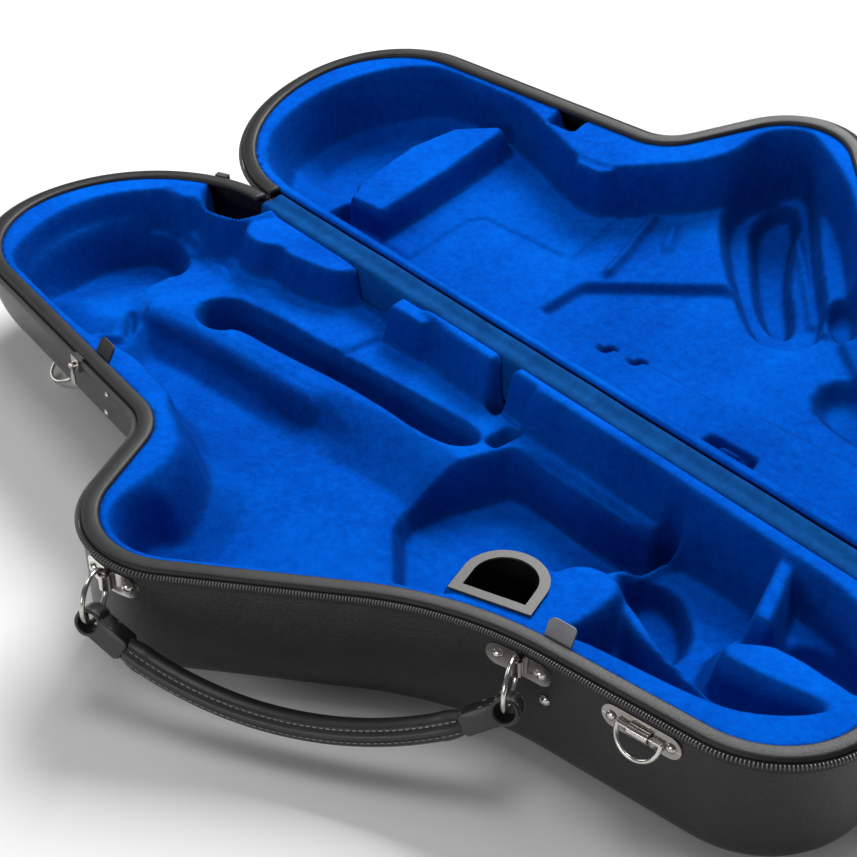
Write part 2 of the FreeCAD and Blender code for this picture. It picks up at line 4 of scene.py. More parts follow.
import bpy
import numpy as np
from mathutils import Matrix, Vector


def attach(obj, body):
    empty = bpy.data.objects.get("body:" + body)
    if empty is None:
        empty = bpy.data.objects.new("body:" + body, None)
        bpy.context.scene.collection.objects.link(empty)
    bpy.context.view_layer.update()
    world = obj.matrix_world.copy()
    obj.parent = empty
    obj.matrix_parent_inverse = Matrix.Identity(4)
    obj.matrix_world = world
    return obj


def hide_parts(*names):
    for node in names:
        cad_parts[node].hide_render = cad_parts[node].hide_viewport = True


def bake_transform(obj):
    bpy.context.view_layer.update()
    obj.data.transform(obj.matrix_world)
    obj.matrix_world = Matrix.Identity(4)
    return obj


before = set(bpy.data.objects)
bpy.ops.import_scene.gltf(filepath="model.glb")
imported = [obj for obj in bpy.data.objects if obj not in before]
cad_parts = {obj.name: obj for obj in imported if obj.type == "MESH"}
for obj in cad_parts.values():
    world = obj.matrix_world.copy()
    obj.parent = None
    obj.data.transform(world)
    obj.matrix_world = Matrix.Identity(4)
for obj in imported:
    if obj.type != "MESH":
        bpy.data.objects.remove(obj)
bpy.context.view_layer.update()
MM = 0.001

# ------------------------------------------------------------------ driving dimensions (mm)
TOP = 104.0                  # meeting plane of the two trays
HINGE_Y = 154.0
OPEN_ANGLE = math.radians(168.0)
FOAM_TOP = 100.0             # flat top of both foam inserts, the lid's in its own closed place
WALL_OUTSET = 13.0           # from the inner rim line to the outside of the shell
COIL_OUTSET = 14.3           # from the inner rim line to the foot of the zipper's coil
COIL_Z = 99.0                # height of the coil's middle
HINGE_GAP = 0.6              # the rolled edging stops this far before the hinge line
COIL_GAP = 6.0               # and the coil this far
LIP_ENDS_X = (-318.0, 362.0)  # the hinge side lies between the ends of the rim lip
TOOTH_PITCH = 2.0
GRID = 2.0                   # spacing of the plush surface's points
LID_DEPTH = 112.78           # from the meeting plane to the lid's outer face
SHELL_WALL = 3.0
EDGE_ROUND = 35.0            # rounding of the trays between walls and bottom
BOW_ROUND = 88.0             # the same round the bow lobe
BOW_PART_X = -110.0          # the lobe's rounding reaches this far
PLUSH_THICK = 5.0            # plush and its backing, over the shaped foam
PLUSH_INSET = 0.4            # gap between the plush and the inner rim line
PLUSH_CLEAR = 1.5            # least gap between the plush's underside and the shell
PLUSH_LOWEST = 4.0
LEDGE = 6.0                  # narrowest plush ledge inside the rim
CUP_WIDE = 58.0
CUP_LONG = 52.0
CUP_WALL = 2.4               # the plush stops this far inside the cup's outer face
CUP_HOLE_FLOOR = 36.0        # the plush under the cup, out of sight
NOTCH_FLOOR = 82.0           # notches in the lid's plush for the locating tabs
FLOOR_RADIUS = 2.0           # metres
OUTLINE = [                  # inner rim line: x, y, corner radius
    (-437.0, 140.5, 122.0), (-437.0, -74.0, 97.0), (-86.0, -101.0, 58.0), (-6.9, -232.6, 58.5),
    (195.7, -57.8, 250.0), (425.0, -16.5, 65.0), (425.0, 140.5, 65.0)]


# ------------------------------------------------------------------ plan outline
def outline_arcs(outset):
    """Start angle, sweep, centre and radius of each rounded corner, moved outwards by outset."""
    arcs = []
    count = len(OUTLINE)
    for i in range(count):
        before, here, after = (np.array(OUTLINE[k % count][:2]) for k in (i - 1, i, i + 1))
        radius = OUTLINE[i][2]
        back = (before - here) / np.linalg.norm(before - here)
        ahead = (after - here) / np.linalg.norm(after - here)
        half = math.acos(back @ ahead) / 2
        middle = (back + ahead) / np.linalg.norm(back + ahead)
        centre = here + middle * radius / math.sin(half)
        first = here + back * radius / math.tan(half) - centre
        last = here + ahead * radius / math.tan(half) - centre
        start = math.atan2(first[1], first[0])
        sweep = (math.atan2(last[1], last[0]) - start + math.pi) % (2 * math.pi) - math.pi
        arcs.append((centre, start, sweep, radius + math.copysign(outset, sweep)))
    return arcs


def outline_points(outset, step=3.0):
    """Closed list of points along the outline, and the outward direction at each."""
    points, outward = [], []
    arcs = outline_arcs(outset)
    for i, (centre, start, sweep, radius) in enumerate(arcs):
        steps = max(2, int(abs(sweep) * radius / step))
        for k in range(steps + 1):
            angle = start + sweep * k / steps
            ray = np.array((math.cos(angle), math.sin(angle)))
            points.append(centre + ray * radius)
            outward.append(ray * math.copysign(1, sweep))
        next_centre, next_start, _, next_radius = arcs[(i + 1) % len(arcs)]
        target = next_centre + next_radius * np.array((math.cos(next_start), math.sin(next_start)))
        run = target - points[-1]
        parts = int(np.linalg.norm(run) / step)
        here = points[-1]
        for k in range(1, parts):
            points.append(here + run * k / parts)
            outward.append(outward[-1])
    return np.array(points), np.array(outward)


def rim_path(step=3.0):
    """The outline without its hinge side, evenly spaced, from the bow end to the neck end."""
    points, outward = outline_points(0.0, step / 3)
    first_x, last_x = LIP_ENDS_X
    hinge_side = (points[:, 1] > 120) & (points[:, 0] > first_x) & (points[:, 0] < last_x)
    points, outward = points[~hinge_side], outward[~hinge_side]
    length = np.concatenate(([0], np.cumsum(np.linalg.norm(np.diff(points, axis=0), axis=1))))
    where = np.linspace(0, length[-1], int(length[-1] / step) + 1)
    resample = [np.interp(where, length, column) for column in (*points.T, *outward.T)]
    points = np.stack(resample[:2], axis=1)
    outward = np.stack(resample[2:], axis=1)
    outward /= np.linalg.norm(outward, axis=1)[:, None]
    return points, outward, where


def to_lid(points):
    """Carry points built like the base's to the opened lid, in millimetres."""
    points = np.array(points, float).reshape(-1, 3)
    y = points[:, 1] - HINGE_Y
    z = -(points[:, 2] - TOP)
    cos_open, sin_open = math.cos(-OPEN_ANGLE), math.sin(-OPEN_ANGLE)
    moved = points.copy()
    moved[:, 1] = HINGE_Y + y * cos_open - z * sin_open
    moved[:, 2] = TOP + y * sin_open + z * cos_open
    return moved


# ------------------------------------------------------------------ materials
def new_material(name, color, roughness, metallic=0.0, **sockets):
    material = bpy.data.materials.new(name)
    material.use_nodes = True
    shader = material.node_tree.nodes["Principled BSDF"]
    shader.inputs["Base Color"].default_value = (*color, 1)
    shader.inputs["Roughness"].default_value = roughness
    shader.inputs["Metallic"].default_value = metallic
    for socket, value in sockets.items():
        shader.inputs[socket.replace("_", " ")].default_value = value
    return material, material.node_tree, shader


def add_node(tree, kind, **settings):
    node = tree.nodes.new(kind)
    for key, value in settings.items():
        if key in node.inputs:
            node.inputs[key].default_value = value
        else:
            setattr(node, key, value)
    return node


def place_coordinates(tree):
    return add_node(tree, "ShaderNodeNewGeometry").outputs["Position"]


def noise(tree, scale, detail=4.0, roughness=0.55, vector=None):
    node = add_node(tree, "ShaderNodeTexNoise", Scale=scale, Detail=detail, Roughness=roughness)
    tree.links.new(vector or place_coordinates(tree), node.inputs["Vector"])
    return node.outputs["Fac"]


def ramp(tree, fac, stops):
    node = add_node(tree, "ShaderNodeValToRGB")
    while len(node.color_ramp.elements) < len(stops):
        node.color_ramp.elements.new(0.5)
    for element, (place, color) in zip(node.color_ramp.elements, stops):
        element.position = place
        element.color = (*color, 1) if len(color) == 3 else color
    tree.links.new(fac, node.inputs["Fac"])
    return node.outputs["Color"]


def bump(tree, shader, height, strength, distance, after=None):
    node = add_node(tree, "ShaderNodeBump", Strength=strength, Distance=distance)
    tree.links.new(height, node.inputs["Height"])
    if after is not None:
        tree.links.new(after, node.inputs["Normal"])
    tree.links.new(node.outputs["Normal"], shader.inputs["Normal"])
    return node.outputs["Normal"]


def math_node(tree, operation, first, second=None, clamp=False):
    node = add_node(tree, "ShaderNodeMath", operation=operation, use_clamp=clamp)
    for socket, value in zip(node.inputs, (first, second)):
        if value is None:
            continue
        if isinstance(value, (int, float)):
            socket.default_value = value
        else:
            tree.links.new(value, socket)
    return node.outputs[0]


def plush_material():
    """Deep-pile plush: brushed patches, a bright nap at grazing angles, a fine pile, and painted shade that
    darkens steep walls and deep hollows.
    """
    material, tree, shader = new_material(
        "plush", (0.0, 0.1, 0.6), 1.0, Specular_IOR_Level=0.02, Sheen_Weight=0.16,
        Sheen_Roughness=0.3, Sheen_Tint=(0.0, 0.22, 1.0, 1))
    patches = noise(tree, 9.0, 5.0, 0.62)
    pile = noise(tree, 900.0, 3.0, 0.8)
    mottle = noise(tree, 150.0, 4.0, 0.7)
    value = math_node(tree, "ADD", math_node(tree, "MULTIPLY", patches, 0.6),
                      math_node(tree, "MULTIPLY", mottle, 0.4))
    value = math_node(tree, "ADD", math_node(tree, "MULTIPLY", value, 0.72),
                      math_node(tree, "MULTIPLY", pile, 0.28))
    color = ramp(tree, value, [(0.34, (0.0, 0.048, 0.38)), (0.5, (0.0, 0.104, 0.66)),
                               (0.66, (0.0, 0.165, 0.90))])
    # painted shade: the base colour is darkened by up to two thirds where the point attribute marks a steep
    # wall or a deep hollow
    painted_shade = add_node(tree, "ShaderNodeAttribute", attribute_name="painted_pile_shade")
    shade = math_node(tree, "SUBTRACT", 1.0, math_node(tree, "MULTIPLY", painted_shade.outputs["Fac"], 0.66))
    darker = add_node(tree, "ShaderNodeVectorMath", operation="SCALE")
    tree.links.new(color, darker.inputs[0])
    tree.links.new(shade, darker.inputs["Scale"])
    tree.links.new(darker.outputs[0], shader.inputs["Base Color"])
    soft = bump(tree, shader, mottle, 0.35, 0.0012)
    bump(tree, shader, pile, 0.5, 0.0006, after=soft)
    return material


def gusset_material():
    """Thin woven lining cloth, a shade darker than the plush."""
    material, tree, shader = new_material(
        "gusset_cloth", (0.0, 0.05, 0.25), 0.85, Specular_IOR_Level=0.06, Sheen_Weight=0.08,
        Sheen_Roughness=0.4, Sheen_Tint=(0.0, 0.3, 0.9, 1))
    streaks = noise(tree, 60.0, 5.0, 0.7)
    color = ramp(tree, streaks, [(0.3, (0.0, 0.045, 0.20)), (0.7, (0.0, 0.085, 0.34))])
    tree.links.new(color, shader.inputs["Base Color"])
    weave = add_node(tree, "ShaderNodeTexWave", wave_type="BANDS", bands_direction="DIAGONAL", Scale=420.0)
    tree.links.new(place_coordinates(tree), weave.inputs["Vector"])
    bump(tree, shader, weave.outputs["Fac"], 0.35, 0.0003)
    return material


def leather_material(name, color, light, grain, depth, roughness, coat=0.0):
    """Embossed leatherette: small irregular cells with shallow creases."""
    material, tree, shader = new_material(
        name, color, roughness, Specular_IOR_Level=0.5, Coat_Weight=coat, Coat_Roughness=0.3)
    cells = add_node(tree, "ShaderNodeTexVoronoi", feature="SMOOTH_F1", Scale=grain, Smoothness=0.6)
    tree.links.new(place_coordinates(tree), cells.inputs["Vector"])
    cracks = add_node(tree, "ShaderNodeTexVoronoi", feature="DISTANCE_TO_EDGE", Scale=grain * 0.55)
    tree.links.new(place_coordinates(tree), cracks.inputs["Vector"])
    creases = ramp(tree, cracks.outputs["Distance"], [(0.0, (0, 0, 0)), (0.12, (1, 1, 1))])
    wear = noise(tree, 25.0, 5.0, 0.6)
    shade = ramp(tree, wear, [(0.3, color), (0.8, light)])
    tree.links.new(shade, shader.inputs["Base Color"])
    gloss = math_node(tree, "ADD", math_node(tree, "MULTIPLY", wear, 0.16), roughness - 0.08)
    tree.links.new(gloss, shader.inputs["Roughness"])
    first = bump(tree, shader, cells.outputs["Distance"], 0.55, depth)
    bump(tree, shader, creases, 0.3, depth * 0.7, after=first)
    return material


def plastic_material(name, color, roughness, speck=0.3):
    """Fine-grained plastic, board or thread with slight wear."""
    material, tree, shader = new_material(name, color, roughness)
    fine = noise(tree, 700.0, 3.0, 0.6)
    wear = noise(tree, 30.0, 4.0, 0.6)
    lighter = tuple(min(1.0, c * 1.35 + 0.004) for c in color)
    tree.links.new(ramp(tree, wear, [(0.35, color), (0.75, lighter)]), shader.inputs["Base Color"])
    gloss = math_node(tree, "ADD", math_node(tree, "MULTIPLY", wear, 0.15), roughness - 0.07)
    tree.links.new(gloss, shader.inputs["Roughness"])
    bump(tree, shader, fine, speck, 0.00025)
    return material


def nickel_material():
    """Plated metal with a smeared shine."""
    material, tree, shader = new_material("nickel", (0.68, 0.66, 0.63), 0.22, 1.0)
    smear = noise(tree, 60.0, 5.0, 0.65)
    gloss = math_node(tree, "ADD", math_node(tree, "MULTIPLY", smear, 0.22), 0.1)
    tree.links.new(gloss, shader.inputs["Roughness"])
    tone = ramp(tree, noise(tree, 35.0), [(0.3, (0.50, 0.48, 0.45)), (0.7, (0.76, 0.74, 0.71))])
    tree.links.new(tone, shader.inputs["Base Color"])
    bump(tree, shader, noise(tree, 500.0), 0.12, 0.0002)
    return material


def tape_material():
    """Woven zipper tape with a herringbone rib."""
    material, tree, shader = new_material("zipper_tape", (0.012, 0.012, 0.014), 0.8,
                                          Specular_IOR_Level=0.3, Sheen_Weight=0.2)
    ribs = add_node(tree, "ShaderNodeTexWave", wave_type="BANDS", bands_direction="DIAGONAL",
                    Scale=520.0, Distortion=1.5)
    tree.links.new(place_coordinates(tree), ribs.inputs["Vector"])
    color = ramp(tree, ribs.outputs["Fac"], [(0.2, (0.006, 0.006, 0.008)), (0.9, (0.03, 0.03, 0.034))])
    tree.links.new(color, shader.inputs["Base Color"])
    bump(tree, shader, ribs.outputs["Fac"], 0.5, 0.0004)
    return material


def cup_material():
    """Grey rim on the cup, with painted shade: below the rim, inside the cup, it is near-black."""
    material, tree, shader = new_material("cup_plastic", (0.14, 0.135, 0.125), 0.45)
    position = add_node(tree, "ShaderNodeSeparateXYZ")
    tree.links.new(place_coordinates(tree), position.inputs[0])
    # painted shade: everything below the rim height is given a near-black colour
    above = math_node(tree, "GREATER_THAN", position.outputs["Z"], (FOAM_TOP + 0.6) * MM)
    mottled = noise(tree, 500.0, 3.0, 0.7)
    grey = ramp(tree, mottled, [(0.3, (0.052, 0.05, 0.046)), (0.7, (0.085, 0.082, 0.075))])
    mix = add_node(tree, "ShaderNodeMix", data_type="RGBA")
    tree.links.new(above, mix.inputs[0])
    mix.inputs[6].default_value = (0.004, 0.004, 0.004, 1)
    tree.links.new(grey, mix.inputs[7])
    tree.links.new(mix.outputs[2], shader.inputs["Base Color"])
    bump(tree, shader, mottled, 0.25, 0.0003)
    return material


PLUSH = plush_material()
GUSSET = gusset_material()
VINYL = leather_material("shell_vinyl", (0.008, 0.008, 0.0085), (0.018, 0.018, 0.018), 900.0, 0.0006, 0.34)
HANDLE = leather_material("handle_leather", (0.010, 0.010, 0.011), (0.020, 0.020, 0.021), 1500.0, 0.0002,
                          0.36, coat=0.2)
EDGING = leather_material("rim_edging", (0.007, 0.007, 0.0075), (0.016, 0.016, 0.016), 1300.0, 0.0002, 0.5)
TAPE = tape_material()
TEETH = plastic_material("zipper_teeth", (0.09, 0.09, 0.095), 0.3, 0.1)
TAB = plastic_material("tab_board", (0.21, 0.21, 0.23), 0.6)
DARK_TAB = plastic_material("dark_tab_board", (0.03, 0.03, 0.033), 0.6)
STITCH = plastic_material("stitch_thread", (0.22, 0.22, 0.22), 0.7)
NICKEL = nickel_material()
CUP = cup_material()
CORE = plastic_material("handle_core", (0.02, 0.02, 0.02), 0.7)


# ------------------------------------------------------------------ mesh helpers
def make_piece(name, points, faces, material, body, on_lid=False, replaced=(), smooth=True):
    """Mesh piece in metres from millimetre points, riding on a body."""
    points = np.array(points, float).reshape(-1, 3)
    if on_lid:
        points = to_lid(points)
        faces = [tuple(reversed(face)) for face in faces]
    mesh = bpy.data.meshes.new(name)
    mesh.from_pydata((points * MM).tolist(), [], [list(face) for face in faces])
    mesh.validate()
    if smooth:
        mesh.shade_smooth()
    piece = bpy.data.objects.new(name, mesh)
    bpy.context.scene.collection.objects.link(piece)
    mesh.materials.append(material)
    if body:
        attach(piece, body)
    if replaced:
        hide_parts(*replaced)
    return piece


def sweep_faces(stations, ring, closed_path=False, caps=True):
    """Faces of a tube of rings, each with the same number of points in order."""
    faces = []
    for i in range(stations if closed_path else stations - 1):
        following = (i + 1) % stations
        for k in range(ring):
            after = (k + 1) % ring
            faces.append((i * ring + k, following * ring + k, following * ring + after, i * ring + after))
    if caps and not closed_path:
        faces.append(tuple(range(ring)))
        faces.append(tuple(range((stations - 1) * ring, stations * ring))[::-1])
    return faces


def rim_sweep(profile_at, step=3.0):
    """Points and faces of a section carried along the rim; profile_at(station, length) gives (outset, z)."""
    path, outward, length = rim_path(step)
    points = []
    for i in range(len(path)):
        profile = profile_at(i, length[i])
        for outset, z in profile:
            spot = path[i] + outward[i] * outset
            points.append((spot[0], min(spot[1], HINGE_Y - HINGE_GAP), z))
    return points, sweep_faces(len(path), len(profile))


def rounded_section(x0, x1, z0, z1, radius, crown=0.0, steps=4):
    """Rounded rectangle as a list of (outset, z), with a slightly crowned top."""
    section = []
    corners = [(x1 - radius, z0 + radius, -90), (x1 - radius, z1 - radius, 0),
               (x0 + radius, z1 - radius, 90), (x0 + radius, z0 + radius, 180)]
    for cx, cz, start in corners:
        for k in range(steps + 1):
            angle = math.radians(start + 90 * k / steps)
            section.append((cx + radius * math.cos(angle), cz + radius * math.sin(angle)))
    lifted = []
    for x, z in section:
        share = (x - x0) / (x1 - x0)
        lifted.append((x, z + (crown * 4 * share * (1 - share) if z > (z0 + z1) / 2 else 0)))
    return lifted


# ------------------------------------------------------------------ sculpted plush inserts
class Relief:
    """Height of a plush insert over its plan, shaped by sinking and raising smooth-edged areas."""

    def __init__(self, x0, x1, y0, y1, level):
        self.x = np.arange(x0, x1 + GRID, GRID)
        self.y = np.arange(y0, y1 + GRID, GRID)
        self.gx, self.gy = np.meshgrid(self.x, self.y, indexing="ij")
        self.high = np.full(self.gx.shape, float(level))

    @staticmethod
    def rounded(corners, passes):
        """Outline with its corners cut, twice as fine with each pass."""
        points = np.array(corners, float)
        for _ in range(passes):
            following = np.roll(points, -1, axis=0)
            points = np.stack((points * 0.75 + following * 0.25, points * 0.25 + following * 0.75), 1)
            points = points.reshape(-1, 2)
        return points

    def depth_inside(self, points, closed=True):
        """Distance from the polygon's edge, positive inside."""
        ends = np.roll(points, -1, axis=0) if closed else points[1:]
        starts = points if closed else points[:-1]
        nearest = np.full(self.gx.shape, 1e9)
        inside = np.zeros(self.gx.shape, bool)
        for (ax, ay), (bx, by) in zip(starts, ends):
            dx, dy = bx - ax, by - ay
            length = max(dx * dx + dy * dy, 1e-9)
            t = np.clip(((self.gx - ax) * dx + (self.gy - ay) * dy) / length, 0, 1)
            nearest = np.minimum(nearest, (self.gx - ax - t * dx) ** 2 + (self.gy - ay - t * dy) ** 2)
            if closed and ay != by:
                crosses = (ay > self.gy) != (by > self.gy)
                inside ^= crosses & (self.gx < ax + (self.gy - ay) * dx / dy)
        distance = np.sqrt(nearest)
        return np.where(inside, distance, -distance) if closed else distance

    @staticmethod
    def wall(depth, draft):
        """Share of the way down a wall: straight, with a small rounding at both edges."""
        share = np.clip(depth / draft, 0, 1)
        return share * 0.7 + share * share * (3 - 2 * share) * 0.3

    def sink(self, floor, draft, corners, passes=2):
        """Hollow with a flat floor; draft is how far its wall spreads inwards."""
        depth = self.depth_inside(self.rounded(corners, passes))
        share = self.wall(depth, draft)
        self.high = np.minimum(self.high, self.high + (floor - self.high) * share)

    def lift(self, top, draft, corners, passes=2):
        """Block with a flat top; draft is how far its wall spreads inwards."""
        depth = self.depth_inside(self.rounded(corners, passes))
        share = self.wall(depth, draft)
        self.high = np.maximum(self.high, self.high + (top - self.high) * share)

    def bead(self, rise, width, line):
        """Low rounded seam or crease along a line; a negative rise is a crease."""
        distance = self.depth_inside(np.array(line, float), closed=False)
        self.high = self.high + rise * np.exp(-((distance / width) ** 2))

    def keep_ledge(self, ledge, draft):
        """Leave a ledge at full height along the rim, except on the hinge side."""
        border, _ = outline_points(0.0, 3.0)
        depth = self.depth_inside(border)
        share = self.wall(ledge + draft - depth, draft)
        share = np.where((self.gy > 108) & (self.gx > -378) & (self.gx < 384), 0, share)
        self.high = np.maximum(self.high, self.high + (FOAM_TOP - self.high) * share)

    def clear_shell(self, tray_bottom):
        """Keep the skin above the tray's rounded inner surface."""
        border, _ = outline_points(0.0, 3.0)
        reach = np.maximum(self.depth_inside(border), 0) + WALL_OUTSET
        radius = np.where(self.gx < BOW_PART_X, BOW_ROUND, EDGE_ROUND)
        inward = np.clip(radius - reach, 0, radius - SHELL_WALL)
        surface = tray_bottom + radius - np.sqrt((radius - SHELL_WALL) ** 2 - inward ** 2)
        self.high = np.maximum(self.high, surface + PLUSH_THICK + PLUSH_CLEAR)

    def soften(self, reach):
        """Round every edge a little, as stretched plush does."""
        radius = int(3 * reach / GRID) + 1
        kernel = np.exp(-0.5 * (np.arange(-radius, radius + 1) * GRID / reach) ** 2)
        kernel /= kernel.sum()
        padded = np.pad(self.high, radius, mode="edge")
        rows = sum(k * padded[i:i + self.high.shape[0], :] for i, k in enumerate(kernel))
        self.high = sum(k * rows[:, i:i + self.high.shape[1]] for i, k in enumerate(kernel))


def relief_mesh(relief, edge_outset, thick):
    """Closed skin of a relief, cut to the plan outline, and its painted shade: how much each point is
    darkened for steep walls and deep hollows.
    """
    border, _ = outline_points(edge_outset, 1.5)
    inside = relief.depth_inside(border[::2]) > 0
    cells = inside[:-1, :-1] & inside[1:, :-1] & inside[1:, 1:] & inside[:-1, 1:]
    index = np.full(inside.shape, -1)
    used = np.zeros(inside.shape, bool)
    for di in (0, 1):
        for dj in (0, 1):
            used[di:used.shape[0] - 1 + di, dj:used.shape[1] - 1 + dj] |= cells
    index[used] = np.arange(used.sum())
    count = int(used.sum())
    plan = np.stack((relief.gx[used], relief.gy[used]), 1)
    high = relief.high[used]
    i, j = np.nonzero(cells)
    quads = np.stack((index[i, j], index[i + 1, j], index[i + 1, j + 1], index[i, j + 1]), 1)
    edges = np.concatenate([quads[:, [k, (k + 1) % 4]] for k in range(4)])
    keys = {(a, b) for a, b in edges.tolist()}
    rim = [(a, b) for a, b in keys if (b, a) not in keys]
    for a in {a for a, _ in rim}:
        gaps = ((border - plan[a]) ** 2).sum(1)
        plan[a] = border[gaps.argmin()]
    top = np.column_stack((plan, high))
    bottom = top.copy()
    bottom[:, 2] = np.maximum(top[:, 2] - thick, PLUSH_LOWEST)
    faces = [tuple(q) for q in quads.tolist()]
    faces += [tuple(c + count for c in reversed(q)) for q in quads.tolist()]
    faces += [(b, a, a + count, b + count) for a, b in rim]
    # painted shade per point: three quarters from the steepness of the wall, one quarter from the depth below
    # the foam top
    slope = np.hypot(*np.gradient(relief.high, GRID))[used]
    painted_shade = np.clip(slope / 1.3, 0, 1) * 0.75 + np.clip((FOAM_TOP - high) / 75, 0, 1) * 0.25
    return np.concatenate((top, bottom)), faces, np.concatenate((painted_shade, painted_shade))


def cup_outline(inset):
    """Plan of the D-shaped mouthpiece cup, straight side along the wall, moved inwards by inset."""
    middle, outward = np.array((210.0, -52.8)), np.array((0.377, -0.926))
    side = np.array((-outward[1], outward[0]))
    half = CUP_WIDE / 2 - inset
    straight = CUP_LONG - CUP_WIDE / 2
    turns = np.linspace(0, math.pi, 13)
    plan = [(half, -inset)] + [(half * math.cos(t), -straight - half * math.sin(t)) for t in turns]
    plan.append((-half, -inset))
    return [tuple(middle + side * along + outward * out) for along, out in plan]


def tab_notch(x, y, outward):
    """Plan of the notch that clears a locating tab once the lid is shut."""
    middle, outward = np.array((x, y)), np.array(outward)
    side = np.array((-outward[1], outward[0]))
    return [tuple(middle + side * along + outward * out) for along, out in
            ((-14.5, 4), (14.5, 4), (14.5, -17), (-14.5, -17))]


def base_relief():
    """Plush of the base tray: basins, blocks and ridges read from the photo."""
    r = Relief(-440, 428, -236, 142, FOAM_TOP)
    # everything within the ledge
    r.sink(64, 12, [(-378, -62), (-404, -20), (-415, 30), (-400, 74), (-384, 104), (-368, 122), (-352, 106),
                    (-316, 98), (-296, 120), (-290, 150), (-110, 150), (-60, 132), (120, 133), (288, 130),
                    (350, 130), (408, 104), (412, 40), (378, -2), (341, -15), (296, -24), (262, -34),
                    (236, -60), (188, -76), (164, -88), (125, -113), (88, -150), (39, -194), (12, -206),
                    (-12, -200), (-31, -172), (-33, -147), (-25, -137), (-49, -108), (-72, -88), (-98, -80),
                    (-136, -75), (-183, -71), (-240, -84), (-310, -86), (-350, -80)])
    # bow: a stepped basin
    r.sink(78, 5, [(-380, -62), (-406, -20), (-417, 28), (-402, 74), (-380, 92), (-336, 88), (-316, 60),
                   (-300, 10), (-300, -20), (-300, -74), (-350, -80)])
    r.sink(36, 12, [(-372, -58), (-396, -20), (-405, 26), (-391, 66), (-370, 84), (-338, 80), (-310, 66),
                    (-296, 20), (-268, -10), (-268, -54), (-300, -76), (-344, -76)])
    r.lift(58, 60, [(-400, -60), (-372, 20), (-350, 60), (-320, 84), (-240, 84), (-220, -40),
                    (-300, -110)], 1)
    # waist trough and bell basin
    r.sink(37, 34, [(-266, -56), (-292, -4), (-264, 14), (-221, 24), (-151, 32), (-80, 40), (-30, 30),
                    (-40, -60), (-60, -106), (-98, -84), (-136, -76), (-183, -72), (-240, -88)])
    r.sink(38, 46, [(-33, -176), (-12, -204), (14, -210), (42, -198), (92, -154), (130, -116), (170, -92),
                    (196, -72), (196, -20), (150, 40), (100, 60), (30, 66), (-30, 60), (-110, 40),
                    (-150, -30), (-110, -90), (-76, -98), (-46, -118)])
    # the long plateau between bow and bell
    r.lift(63, 17, [(-322, 10), (-296, -6), (-262, -4), (-221, 5), (-151, 12), (-86, 14), (-74, 24),
                    (-84, 50), (-100, 66), (-170, 62), (-235, 70), (-280, 74), (-330, 60)], 1)
    r.sink(42, 5, [(-92, 8), (-72, 30), (-46, 14), (-54, -28)], 1)
    r.bead(-7, 3.0, [(-262, -47), (-263, -34), (-274, -20), (-288, -10)])
    # slot for the rod guards, and the body trough
    r.sink(28, 9, [(-252, 30), (-258, 48), (-246, 66), (-224, 71), (-123, 82), (-9, 96), (36, 98), (42, 82),
                   (22, 64), (-69, 62), (-160, 46), (-206, 42), (-212, 26), (-234, 22)])
    # platform along the hinge
    r.lift(66, 8, [(-352, 88), (-312, 98), (-294, 128), (-290, 150), (-116, 150), (-113, 74), (-170, 70),
                   (-232, 74), (-262, 80), (-300, 74)], 1)
    r.bead(-3.5, 2.2, [(-330, 74), (-312, 88), (-290, 92), (-268, 84)])
    r.bead(-3.0, 2.0, [(-118, 76), (-116, 100), (-116, 134)])
    r.lift(72, 6, [(-384, 90), (-352, 84), (-318, 84), (-286, 104), (-284, 150), (-380, 150)], 1)
    r.lift(99, 14, [(-400, 84), (-372, 82), (-350, 92), (-346, 112), (-366, 140), (-400, 120)], 1)
    r.sink(40, 6, [(-368, 120), (-350, 106), (-326, 102), (-306, 110), (-298, 126), (-300, 158),
                   (-352, 158), (-372, 136)], 1)
    # blocks
    r.lift(97, 6, [(-300, 114), (-290, 102), (-272, 94), (-244, 102), (-204, 109), (-178, 117), (-167, 130),
                   (-168, 150), (-300, 150)], 1)
    r.sink(67, 5, [(-266, 84), (-256, 104), (-244, 114), (-228, 110), (-222, 90)], 1)
    r.lift(96, 4, [(-116, 121), (-70, 123), (-66, 150), (-120, 150)], 0)
    # rim strip on the hinge side
    r.lift(98, 5, [(-60, 128), (8, 128), (60, 126), (122, 131), (207, 131), (296, 126), (420, 120),
                   (420, 152), (-66, 152)], 0)
    r.sink(44, 5, [(5, 122), (5, 144), (25, 144), (24, 120)], 0)
    r.sink(62, 6, [(20, 120), (20, 134), (52, 134), (54, 118)], 0)
    # bench and key recess
    r.sink(22, 9, [(44, 2), (44, 46), (56, 84), (62, 106), (92, 112), (188, 114), (216, 112), (214, 74),
                   (204, 48), (210, 28), (204, 12), (206, -4), (190, -22), (172, -24), (150, -10),
                   (120, -36), (104, -46), (80, -26)], 1)
    r.lift(60, 3, [(54, 96), (76, 101), (172, 103), (197, 108), (199, 138), (54, 138)], 0)
    r.sink(52, 4, [(40, 92), (54, 92), (54, 124), (40, 118)], 0)
    r.lift(52, 8, [(136, 4), (150, 30), (178, 36), (196, 22), (188, 0), (160, -10)], 1)
    # neck hollow
    r.sink(44, 12, [(206, 78), (206, 112), (226, 126), (292, 128), (322, 96), (304, 68), (318, 40),
                    (336, 6), (300, 6), (262, 18), (244, 36), (220, 54)], 1)
    r.sink(27, 9, [(212, 56), (216, 90), (236, 96), (262, 84), (282, 64), (286, 36), (262, 32),
                   (240, 42)], 1)
    r.sink(27, 5, [(196, 104), (196, 128), (216, 128), (216, 100)], 1)
    # hump beside the cup and the curved ridge
    r.lift(99, 9, [(210, -30), (205, -4), (205, 14), (218, 31), (242, 37), (260, 28), (266, 8), (268, -20),
                   (262, -46), (240, -60)], 1)
    r.sink(46, 16, [(262, -30), (268, 12), (300, 4), (340, -2), (376, 6), (398, 22), (360, -8),
                    (300, -24)], 1)
    r.lift(88, 7, [(240, 34), (256, 10), (285, 0), (345, -6), (380, 0), (380, 8), (345, 9), (302, 16),
                   (268, 30)], 1)
